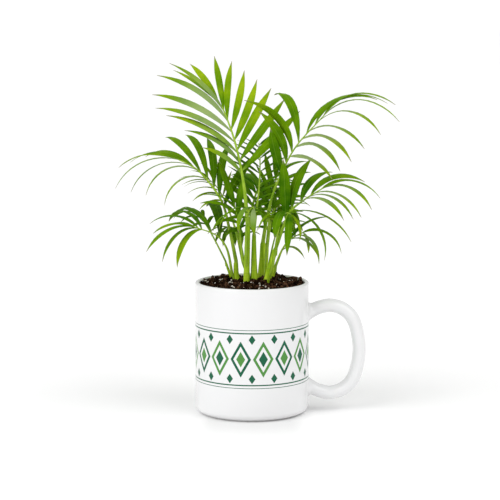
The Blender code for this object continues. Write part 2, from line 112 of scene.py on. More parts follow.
class Finish:
    # a material with its nodes; constants go straight on the shader's own sockets

    def __init__(self, name, constants):
        self.material = bpy.data.materials.new(name)
        self.material.use_nodes = True
        self.tree = self.material.node_tree
        self.shader = self.tree.nodes["Principled BSDF"]
        for socket, value in constants.items():
            self.shader.inputs[socket].default_value = value

    def feed(self, socket, value):
        if isinstance(value, Signal):
            self.tree.links.new(value.socket, socket)
        else:
            socket.default_value = value

    def node(self, kind, settings=None, values=None, output=0):
        made = self.tree.nodes.new(kind)
        for key, value in (settings or {}).items():
            if key == "stops":
                ramp = made.color_ramp
                while len(ramp.elements) < len(value):
                    ramp.elements.new(0.5)
                for element, (position, colour) in zip(ramp.elements, value):
                    element.position = position
                    element.color = (*colour, 1)
            else:
                setattr(made, key, value)
        for key, value in (values or {}).items():
            self.feed(made.inputs[key], value)
        return Signal(self, made.outputs[output])

    def place(self, scale=(1, 1, 1)):
        # Object coordinates in millimetres, stretched by scale
        spot = self.node("ShaderNodeTexCoord", output=3)
        size = tuple(1000 * value for value in scale)
        return self.node("ShaderNodeMapping", {}, {"Vector": spot, "Scale": size})

    def split(self, vector):
        parts = self.node("ShaderNodeSeparateXYZ", {}, {"Vector": vector})
        outputs = parts.socket.node.outputs
        return [Signal(self, outputs[i]) for i in range(3)]

    def grain(self, vector, scale, detail=3.0):
        return self.node("ShaderNodeTexNoise", {},
                         {"Vector": vector, "Scale": scale, "Detail": detail})

    def mix(self, share, first, second):
        first, second = [value if isinstance(value, Signal) else (*value, 1)
                         for value in (first, second)]
        return self.node("ShaderNodeMix", {"data_type": "RGBA"},
                         {0: share, 6: first, 7: second}, output=2)

    def blendRamp(self, share, stops):
        return self.node("ShaderNodeValToRGB", {"stops": stops}, {"Fac": share})

    def drive(self, **sockets):
        for name, value in sockets.items():
            self.feed(self.shader.inputs[name.replace("_", " ")], value)

    def bump(self, height, distance, strength=1.0):
        # height from 0 to 1 stands for distance in millimetres
        raised = self.node("ShaderNodeBump", {}, {"Height": height, "Distance": distance * mm,
                                                  "Strength": strength})
        self.feed(self.shader.inputs["Normal"], raised)


# modelling: picking, editing and finishing pieces

def deselectAll():
    if bpy.context.mode != "OBJECT":
        bpy.ops.object.mode_set(mode="OBJECT")
    bpy.ops.object.select_all(action="DESELECT")


def pick(piece, *others):
    deselectAll()
    for one in (*others, piece):
        one.select_set(True)
    bpy.context.view_layer.objects.active = piece


def edit(piece, mode="VERT"):
    pick(piece)
    bpy.ops.object.mode_set(mode="EDIT")
    bpy.ops.mesh.select_mode(type=mode)


def done():
    bpy.ops.object.mode_set(mode="OBJECT")


def choose(piece, verts=None, edges=None, faces=None):
    # selects what passes the test, and is called in edit mode
    bpy.ops.mesh.select_all(action="DESELECT")
    bpy.ops.object.mode_set(mode="OBJECT")
    mesh = piece.data
    if verts:
        for vert in mesh.vertices:
            vert.select = verts(vert.co)
    if edges:
        for edge in mesh.edges:
            edge.select = edges(*[mesh.vertices[i].co for i in edge.vertices])
    if faces:
        for face in mesh.polygons:
            face.select = faces(face.center, face.normal)
    bpy.ops.object.mode_set(mode="EDIT")


def extrudeUp(height):
    # carries the selected faces up by a height in millimetres
    bpy.ops.mesh.extrude_region_move(TRANSFORM_OT_translate={"value": (0, 0, height * mm)})


def settle(piece, name, angle=35):
    # name, merged doubles, faces outwards, smooth shading, place in the mesh
    piece.name = name
    piece.data.name = name
    edit(piece)
    bpy.ops.mesh.select_all(action="SELECT")
    bpy.ops.mesh.remove_doubles(threshold=0.000002)
    bpy.ops.mesh.normals_make_consistent(inside=False)
    done()
    bpy.ops.object.transform_apply(location=True, rotation=True, scale=True)
    bpy.ops.object.shade_smooth_by_angle(angle=math.radians(angle))
    return piece


def finishPiece(piece, materials, slot, *nodes):
    piece.data.materials.clear()
    for finish in materials:
        piece.data.materials.append(finish.material)
    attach(piece, "root")
    if nodes:
        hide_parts(*nodes)
    return piece


def applyModifier(piece, kind, **settings):
    modifier = piece.modifiers.new(kind.lower(), kind)
    for key, value in settings.items():
        setattr(modifier, key, value)
    pick(piece)
    bpy.ops.object.modifier_apply(modifier=modifier.name)


def between(values, share):
    # values spread evenly over 0 to 1, read at a share
    place = share * (len(values) - 1)
    i = min(int(place), len(values) - 2)
    return values[i] + (values[i + 1] - values[i]) * (place - i)


def smoothLine(points, steps=12):
    # a Catmull-Rom curve through the points
    points = [Vector(point) for point in points]
    padded = [2 * points[0] - points[1], *points, 2 * points[-1] - points[-2]]
    line = []
    for a, b, c, d in zip(padded, padded[1:], padded[2:], padded[3:]):
        for i in range(steps):
            s = i / steps
            line.append(0.5 * (2 * b + (c - a) * s + (2 * a - 5 * b + 4 * c - d) * s ** 2
                               + (3 * b - a - 3 * c + d) * s ** 3))
    return [*line, points[-1]]


def lineLength(line):
    return sum((b - a).length for a, b in zip(line, line[1:]))


def along(line, share):
    # the point and the direction of a line at a share of its length
    target = share * lineLength(line)
    i = 0
    while i < len(line) - 2 and target > (line[i + 1] - line[i]).length:
        target -= (line[i + 1] - line[i]).length
        i += 1
    step = target / (line[i + 1] - line[i]).length
    way = line[min(i + 2, len(line) - 1)] - line[max(i - 1, 0)]
    return line[i].lerp(line[i + 1], step), way.normalized()


def sweep(name, points, radii, roundness=4):
    # a path curve with a round bevel, made a mesh; points and radii in millimetres
    deselectAll()
    bpy.ops.curve.primitive_nurbs_path_add(location=(0, 0, 0))
    piece = bpy.context.object
    curve = piece.data
    curve.splines.clear()
    spline = curve.splines.new("POLY")
    spline.points.add(len(points) - 1)
    for knot, place, radius in zip(spline.points, points, radii):
        knot.co = (*(Vector(place) * mm), 1)
        knot.radius = radius
    curve.bevel_depth = mm
    curve.bevel_resolution = roundness
    curve.use_fill_caps = True
    bpy.ops.object.convert(target="MESH")
    return settle(bpy.context.object, name)


def corners(node):
    # the lowest and the highest corner of a CAD node, in millimetres
    return [[round(value / mm, 3) for value in corner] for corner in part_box(node)]


# camera, floor and light

studio = {
    "cameraPlace": (-0.00143, -1.3, 0.29337),
    "cameraTilt": 82.3,
    "lens": 131.5,
    "floorSize": 40.0,
    "floorColour": (1.0, 1.0, 1.0), "floorRoughness": 0.3, "floorSpeckle": 0.1,
    "skyLight": 0.64, "skySeen": 1.1,
    # where each soft light comes from, its spread in degrees and its strength
    "lights": {"leftLight": ((-0.8, -0.7, 1.0), 50, 1.1), "rightLight": ((0.8, -0.5, 1.0), 50, 1.0),
               "sideLight": ((-1.0, -0.6, 0.12), 50, 0.55)},
    # painted reflection of the mug: a faint darker patch on the floor in front of it; breadth,
    # reach and strength
    "paintedReflectionHalf": (26, 46), "paintedReflectionReach": (42, 110), "paintedReflection": 0.2,
}


def buildStudio():
    scene = bpy.context.scene
    scene.view_settings.view_transform = "Standard"
    deselectAll()
    bpy.ops.object.camera_add(location=studio["cameraPlace"],
                              rotation=(math.radians(studio["cameraTilt"]), 0, 0))
    camera = bpy.context.object
    camera.data.lens = studio["lens"]
    camera.data.sensor_width = 36
    scene.camera = camera

    # an even white sky that lights less than it shows
    world = bpy.data.worlds.new("studioWorld")
    world.use_nodes = True
    background = world.node_tree.nodes["Background"]
    background.inputs["Color"].default_value = (1, 1, 1, 1)
    path = world.node_tree.nodes.new("ShaderNodeLightPath")
    reach = world.node_tree.nodes.new("ShaderNodeMapRange")
    world.node_tree.links.new(path.outputs["Is Camera Ray"], reach.inputs["Value"])
    reach.inputs["To Min"].default_value = studio["skyLight"]
    reach.inputs["To Max"].default_value = studio["skySeen"]
    world.node_tree.links.new(reach.outputs["Result"], background.inputs["Strength"])
    scene.world = world

    for name, (origin, angle, strength) in studio["lights"].items():
        bpy.ops.object.light_add(type="SUN", location=origin)
        light = bpy.context.object
        light.name = name
        light.data.angle = math.radians(angle)
        light.data.energy = strength
        light.rotation_euler = (-Vector(origin)).to_track_quat("-Z", "Y").to_euler()

    bpy.ops.mesh.primitive_plane_add(size=studio["floorSize"], location=(0, 0, 0))
    floor = bpy.context.object
    floor.name = "floor"
    paint = Finish("floorPaint", {"Specular IOR Level": 0.05})
    speckle = paint.grain(paint.place(), 0.02)
    x, y, _ = paint.split(paint.place())
    distance = (x * x + y * y).math("SQRT", x * x + y * y)
    # painted reflection: the floor's white is darkened in a patch in front of the mug
    paintedReflection = (1 - abs(x).ramp(*studio["paintedReflectionHalf"])) * (1 - distance.ramp(*studio["paintedReflectionReach"]))
    paintedReflection = paintedReflection * (-y).ramp(0, studio["paintedReflectionReach"][0])
    paint.drive(Base_Color=paint.mix(paintedReflection * studio["paintedReflection"], studio["floorColour"], (0, 0, 0)),
                Roughness=studio["floorRoughness"] + studio["floorSpeckle"] * speckle)
    floor.data.materials.append(paint.material)
    print("studio ready")


# mug

mugHigh = corners("mug")[1]
mug = {
    "radius": mugHigh[1], "height": mugHigh[2], "wall": 3.3, "floor": 7.0,
    "footOuter": 36.5, "footInner": 32.5, "footRecess": 1.8, "footDrop": 0.8,
    "lowerRound": 4.5, "innerRound": 6.0, "rimRound": 1.5, "footRound": 0.35,
    "sides": 128,
    "handleMiddle": 45.4,
    # half of the handle's centre line, mirrored about its middle height
    "handleLine": ((38.9, 27.7), (43.5, 28.6), (49.0, 30.7), (57.0, 32.0), (66.5, 28.8),
                   (74.0, 19.5)),
    "handleReach": 77.6, "handleThickness": 9.6, "handleWidth": 13.0,
    "flareReach": 8.0, "flare": 0.85,
    # glaze, and the bare clay that shows up to bisqueTop
    "white": (0.78, 0.78, 0.785), "whiteShade": 0.985, "bisque": (0.62, 0.60, 0.57),
    "bisqueTop": (0.15, 0.5), "coat": 0.4,
    "glazeRoughness": 0.10, "inkRoughness": 0.12, "bisqueRoughness": 0.6,
    # printed belt of nested lozenges; frame, heart and stud are shares of a lozenge
    "darkInk": (0.002, 0.102, 0.045), "midInk": (0.076, 0.254, 0.048),
    "repeats": 16, "beltMiddle": 45.4, "lozengeHalf": 14.0,
    "lozengeFrame": (0.66, 0.92), "lozengeHeart": 0.40, "stud": 0.27, "studStretch": (0.9, 1.1),
    "lineOffset": 18.5, "lineWidth": 0.9, "hairlineGap": 2.2, "hairlineWidth": 0.45,
    "printDepth": (0.6, 0.3),
}


def glazeFinish():
    glaze = Finish("whiteGlaze", {"Coat Roughness": 0.03, "Specular IOR Level": 0.3})
    x, y, z = glaze.split(glaze.place())
    radius = (x * x + y * y).math("SQRT", x * x + y * y)
    turn = x.math("ARCTAN2", x, -y) * (mug["repeats"] / math.tau)
    side = abs(turn.fraction() - 0.5) * 2.0
    rise = abs(z - mug["beltMiddle"])
    level = rise / mug["lozengeHalf"]
    nest = side + level
    # every other lozenge has the two inks the other way round
    other = (turn.whole() * 0.5).fraction() > 0.25
    inner, outer = mug["lozengeFrame"]
    band = (nest < outer) * (nest > inner)
    heart = nest < mug["lozengeHeart"]
    across, upwards = mug["studStretch"]
    stud = (1 - side) * across + abs(level - 1.0) * upwards < mug["stud"]
    line = abs(rise - mug["lineOffset"]) < mug["lineWidth"] / 2
    hairline = abs(rise - mug["lineOffset"] - mug["hairlineGap"]) < mug["hairlineWidth"] / 2
    below, above = mug["printDepth"]
    onWall = (radius > mug["radius"] - below) * (radius < mug["radius"] + above)
    dark = (other * band).most((1 - other) * heart).most(stud).most(line.most(hairline)) * onWall
    mid = ((1 - other) * band).most(other * heart) * onWall

    cloud = glaze.grain(glaze.place(), 0.05)
    shaded = tuple(mug["whiteShade"] * value for value in mug["white"])
    white = glaze.mix(cloud, mug["white"], shaded)
    foot = 1 - z.ramp(*mug["bisqueTop"])
    body = glaze.mix(foot, white, mug["bisque"])
    inked = glaze.mix(mid, glaze.mix(dark, body, mug["darkInk"]), mug["midInk"])
    ink = dark.most(mid)
    glaze.drive(Base_Color=inked,
                Roughness=(mug["glazeRoughness"] + mug["inkRoughness"] * ink
                           + mug["bisqueRoughness"] * foot),
                Coat_Weight=mug["coat"] - mug["coat"] * ink.most(foot))
    glaze.bump(glaze.grain(glaze.place(), 0.35, 1.0), 0.05, 0.25)
    return glaze


def buildMug(glaze):
    radius, height, wall = mug["radius"], mug["height"], mug["wall"]
    low = mug["footDrop"]
    deselectAll()
    bpy.ops.mesh.primitive_cylinder_add(vertices=mug["sides"], radius=radius * mm,
                                        depth=(height - low) * mm,
                                        location=(0, 0, (height + low) / 2 * mm))
    body = bpy.context.object
    bpy.ops.object.transform_apply(location=True)
    edit(body, "FACE")
    # the opening: wall thickness, then down to the inner floor
    choose(body, faces=lambda centre, normal: normal.z > 0.9)
    bpy.ops.mesh.inset(thickness=wall * mm)
    extrudeUp(mug["floor"] - height)
    # the foot ring and its recess
    choose(body, faces=lambda centre, normal: normal.z < -0.9)
    bpy.ops.mesh.inset(thickness=(radius - mug["footOuter"]) * mm)
    extrudeUp(-low)
    bpy.ops.mesh.inset(thickness=(mug["footOuter"] - mug["footInner"]) * mm)
    extrudeUp(mug["footRecess"])
    # rounded edges: (radius, height, rounding, segments)
    rings = ((radius, low, mug["lowerRound"], 8),
             (radius, height, mug["rimRound"], 6),
             (radius - wall, height, mug["rimRound"], 6),
             (radius - wall, mug["floor"], mug["innerRound"], 8),
             (mug["footOuter"], 0.0, mug["footRound"], 3),
             (mug["footInner"], 0.0, mug["footRound"], 3))
    bpy.ops.mesh.select_mode(type="EDGE")
    for ringRadius, ringHeight, rounding, segments in rings:
        def onRing(a, b):
            return all(abs(math.hypot(end.x, end.y) - ringRadius * mm) < 0.00002
                       and abs(end.z - ringHeight * mm) < 0.00002 for end in (a, b))
        choose(body, edges=onRing)
        bpy.ops.mesh.bevel(offset=rounding * mm, segments=segments, profile=0.5, affect="EDGES")
    done()

    upper = [(x, 0, mug["handleMiddle"] + h) for x, h in mug["handleLine"]]
    lower = [(x, 0, mug["handleMiddle"] - h) for x, h in reversed(mug["handleLine"])]
    line = smoothLine([*upper, (mug["handleReach"], 0, mug["handleMiddle"]), *lower], steps=8)
    start = mug["handleLine"][0][0]
    radii = []
    for point in line:
        near = max(0.0, 1 - (point.x - start) / mug["flareReach"])
        radii.append(mug["handleThickness"] / 2 * (1 + mug["flare"] * near ** 2.4))
    handle = sweep("handle", line, radii, roundness=10)
    edit(handle)
    bpy.ops.mesh.select_all(action="SELECT")
    bpy.ops.transform.resize(value=(1, mug["handleWidth"] / mug["handleThickness"], 1),
                             center_override=(0, 0, 0))
    done()
    applyModifier(body, "BOOLEAN", operation="UNION", solver="EXACT", object=handle)
    bpy.data.objects.remove(handle, do_unlink=True)
    settle(body, "glazed_mug", angle=40)
    finishPiece(body, [glaze], "glaze", "mug")
    print("mug ready:", len(body.data.polygons), "faces")


# soil, bark and perlite

soilLow, soilHigh = corners("potting_soil")
soil = {
    "radius": soilHigh[0] - 0.05, "bottom": soilLow[2] + 0.1, "edge": 93.2, "crown": soilHigh[2],
    "sides": 72, "rings": 22, "lowerRound": 6.0,
    "lump": 1.05, "lumpSize": 3.2, "smallLump": 0.5,
    "coarseGrain": 0.45, "fineGrain": 2.4, "lightShare": (0.42, 0.74),
    "margin": 0.8, "canePlay": 1.25, "chipRoughness": 0.35,
    "bed": {"finish": "pottingMix", "roughness": 0.95,
            "dark": (0.003, 0.001, 0.0003), "light": (0.030, 0.012, 0.006)},
    # sink: how deep a chip sits, as a share of its size; squash: the shapes that it comes in
    "crumb": {"count": 380, "size": (0.9, 2.6), "sink": 0.05, "finish": "darkCrumbs",
              "squash": ((1, 0.8, 0.7), (0.9, 1, 0.8)), "roughness": 0.9,
              "dark": (0.002, 0.0006, 0.0002), "light": (0.040, 0.017, 0.008)},
    "bark": {"count": 260, "size": (1.2, 3.6), "sink": -0.05, "finish": "barkChips",
             "squash": ((1.3, 0.8, 0.45), (1.1, 0.9, 0.6), (1.5, 0.6, 0.5)), "roughness": 0.8,
             "dark": (0.005, 0.001, 0.0003), "light": (0.17, 0.085, 0.045)},
    "perlite": {"count": 230, "size": (0.4, 1.05), "sink": -0.55, "finish": "perliteGrains",
                "squash": ((1, 0.9, 0.8), (0.8, 1, 0.9)), "roughness": 0.9,
                "dark": (0.62, 0.56, 0.47), "light": (0.90, 0.88, 0.83)},
}


def soilHeight(x, y):
    share = math.hypot(x, y) / soil["radius"]
    rise = noise.noise(Vector((x, y, 3.0)) / soil["lumpSize"])
    rise += soil["smallLump"] * noise.noise(Vector((x, y, 9.0)) / soil["lumpSize"] * 2.3)
    dome = soil["crown"] - (soil["crown"] - soil["edge"]) * share ** 2
    return dome + soil["lump"] * rise


def soilFinish(row):
    earth = Finish(row["finish"], {"Specular IOR Level": 0.02})
    spot = earth.place()
    coarse = earth.grain(spot, soil["coarseGrain"], 4.0)
    fine = earth.grain(spot, soil["fineGrain"], 2.0)
    share = (coarse * 0.7 + fine * 0.5 - 0.1).ramp(*soil["lightShare"])
    earth.drive(Base_Color=earth.mix(share, row["dark"], row["light"]),
                Roughness=row["roughness"] - 0.15 * fine)
    earth.bump(coarse * 0.6 + fine * 0.4, 0.5, 0.7)
    return earth


def buildSoil():
    radius, bottom, edge = soil["radius"], soil["bottom"], soil["edge"]
    deselectAll()
    bpy.ops.mesh.primitive_cylinder_add(vertices=soil["sides"], radius=radius * mm,
                                        depth=(edge - bottom) * mm,
                                        location=(0, 0, (edge + bottom) / 2 * mm))
    bed = bpy.context.object
    bpy.ops.object.transform_apply(location=True)
    edit(bed, "FACE")
    choose(bed, faces=lambda centre, normal: normal.z > 0.9)
    for ring in range(soil["rings"]):
        bpy.ops.mesh.inset(thickness=radius / (soil["rings"] + 0.6) * mm)
    bpy.ops.mesh.select_mode(type="EDGE")
    choose(bed, edges=lambda a, b: max(a.z, b.z) < (bottom + 0.1) * mm)
    bpy.ops.mesh.bevel(offset=soil["lowerRound"] * mm, segments=5, affect="EDGES")
    done()
    # the surface rises to a low lumpy crown
    for vert in bed.data.vertices:
        if vert.co.z > (edge - 0.1) * mm:
            vert.co.z = soilHeight(vert.co.x / mm, vert.co.y / mm) * mm
    settle(bed, "potting_mix", angle=60)
    finishPiece(bed, [soilFinish(soil["bed"])], "soil", "potting_soil")
    print("soil ready")


def modelChip(name, squash):
    # one small angular lump, copied for every crumb
    deselectAll()
    bpy.ops.mesh.primitive_cube_add(size=1, location=(0, 0, 0))
    chip = bpy.context.object
    edit(chip)
    bpy.ops.mesh.select_all(action="SELECT")
    bpy.ops.mesh.subdivide(number_cuts=1, smoothness=1.0)
    bpy.ops.transform.resize(value=squash)
    done()
    for vert in chip.data.vertices:
        vert.co *= 1 + soil["chipRoughness"] * (rng.random() - 0.5)
    chip.name = name
    return chip


def scatter(name, row, clear):
    # clear: places that stay bare, as (x, y, radius)
    masters = [modelChip(f"{name}{i}", squash) for i, squash in enumerate(row["squash"])]
    smallest, largest = row["size"]
    chips = []
    while len(chips) < row["count"]:
        reach = (soil["radius"] - soil["margin"]) * math.sqrt(rng.random())
        turn = rng.random() * math.tau
        size = smallest + (largest - smallest) * rng.random() ** 1.6
        tilt = [rng.random() * math.tau for _ in range(3)]
        reach = min(reach, soil["radius"] - 0.2 - size * 0.6)
        x, y = reach * math.cos(turn), reach * math.sin(turn)
        if any(math.hypot(x - cx, y - cy) < keep for cx, cy, keep in clear):
            continue
        master = masters[len(chips) % len(masters)]
        chip = master.copy()
        chip.data = master.data.copy()
        bpy.context.scene.collection.objects.link(chip)
        chip.scale = (size * mm,) * 3
        chip.rotation_euler = tilt
        chip.location = (x * mm, y * mm, (soilHeight(x, y) - row["sink"] * size) * mm)
        chips.append(chip)
    for master in masters:
        bpy.data.objects.remove(master, do_unlink=True)
    pick(chips[0], *chips[1:])
    bpy.ops.object.transform_apply(location=True, rotation=True, scale=True)
    bpy.ops.object.join()
    piece = bpy.context.object
    piece.name = name
    piece.data.name = name
    bpy.ops.object.shade_smooth_by_angle(angle=math.radians(30))
    finishPiece(piece, [soilFinish(row)], "soil")


# canes

canes = {
    "cane_1": {"foot": (-14.0, 12.0), "head": (-19.0, 13.0, 107.0), "radius": (1.2, 0.8)},
    "cane_2": {"foot": (-10.5, 2.0), "head": (-11.5, 1.5, 109.0), "radius": (2.3, 1.6)},
    "cane_3": {"foot": (-4.0, -6.6), "head": (-3.0, -6.0, 136.0), "radius": (2.3, 1.9)},
    "cane_4": {"foot": (1.7, -3.5), "head": (1.5, -2.0, 130.0), "radius": (2.9, 1.4)},
    "cane_5": {"foot": (6.0, 12.0), "head": (8.0, 9.0, 122.0), "radius": (2.6, 2.0)},
    "cane_6": {"foot": (9.7, -6.6), "head": (17.0, -9.5, 120.0), "radius": (2.3, 1.7)},
    "cane_7": {"foot": (13.6, 6.6), "head": (17.0, 5.0, 105.0), "radius": (1.6, 1.2)},
    "cane_8": {"foot": (-3.0, 17.0), "head": (-4.0, 17.5, 117.0), "radius": (1.9, 1.5)},
    "cane_9": {"foot": (9.0, 21.0), "head": (11.0, 22.0, 116.0), "radius": (1.8, 1.4)},
}
caneShape = {
    "root": 8.0, "soilTop": 95.2,
    "swell": 0.06, "swellReach": 9.0,
    # leaf scars: least and greatest spacing, height, and half breadth of the ring and its stain
    "ringSpacing": (7.0, 13.0), "ringDepth": 0.10, "ringHalf": 0.35,
    "stainHalf": (0.15, 0.55), "stain": 0.4, "lean": 0.9, "headRound": 0.8,
    # the skin runs from pale at paleHeight to deep a deepRise above it, in long streaks
    "paleHeight": 92.0, "deepRise": 50.0, "streaks": 2.4, "streakStretch": 0.06, "clouds": 0.5,
    "pale": (0.47, 0.66, 0.03), "green": (0.30, 0.50, 0.01), "deep": (0.17, 0.34, 0.005),
    "ringColour": (0.30, 0.38, 0.05),
}


def caneFinish(name, rings):
    # rings: heights in millimetres of the leaf scars
    cane = Finish(name, {"Specular IOR Level": 0.1})
    x, y, z = cane.split(cane.place())
    stretched = (1, 1, caneShape["streakStretch"])
    streak = cane.grain(cane.place(stretched), 0.6, 3.0)
    cloud = cane.grain(cane.place((0.5, 0.5, 0.12)), 0.6, 2.0)
    rise = ((z - caneShape["paleHeight"]) / caneShape["deepRise"]
            + (cloud - 0.5) * caneShape["clouds"] + (streak - 0.5) * caneShape["streaks"])
    skin = cane.blendRamp(rise, ((0.0, caneShape["pale"]), (0.45, caneShape["green"]),
                                 (1.0, caneShape["deep"])))
    scar = None
    for height in rings:
        one = 1 - abs(z - height + (cloud - 0.5) * 0.8).ramp(*caneShape["stainHalf"])
        scar = one if scar is None else scar.most(one)
    cane.drive(Base_Color=cane.mix(scar * caneShape["stain"], skin, caneShape["ringColour"]),
               Roughness=0.36 + 0.2 * streak)
    cane.bump(cane.grain(cane.place(stretched), 1.6, 4.0), 0.12, 0.5)
    return cane


def buildCane(node, cane):
    x, y = cane["foot"]
    foot = Vector((x, y, caneShape["soilTop"] - 2.0))
    head = Vector(cane["head"])
    axis = (head - foot).normalized()
    thick, thin = cane["radius"]
    length = (head - foot).length
    least, greatest = caneShape["ringSpacing"]
    half = caneShape["ringHalf"]
    rings = []
    reach = least * (0.5 + rng.random())
    while reach < length - 4:
        rings.append(reach)
        reach += least + rng.random() * (greatest - least)
    stops = [-caneShape["root"], -2.0, 0.0, 1.0, 2.5, 4.5, 7.0, length * 0.6, length - 1.5, length]
    for ring in rings:
        stops += [ring - 2.5 * half, ring - half, ring, ring + half, ring + 2.5 * half]
    lean = Vector((rng.random() - 0.5, rng.random() - 0.5, 0)) * caneShape["lean"]
    points, radii = [], []
    for stop in sorted(stops):
        share = max(0.0, min(1.0, stop / length))
        radius = thick + (thin - thick) * share ** 0.8
        near = max(0.0, 1 - max(stop, 0.0) / caneShape["swellReach"])
        radius *= 1 + caneShape["swell"] * near ** 2
        for ring in rings:
            radius += caneShape["ringDepth"] * max(0.0, 1 - abs(stop - ring) / (1.2 * half))
        if stop == length:
            radius *= caneShape["headRound"]
        points.append(foot + axis * stop + lean * math.sin(share * math.pi))
        radii.append(radius)
    piece = sweep(node + "_stem", points, radii, roundness=8)
    heights = [(foot + axis * ring).z for ring in rings[:4]] or [100.0]
    finishPiece(piece, [caneFinish(node + "Skin", heights)], "cane", node)
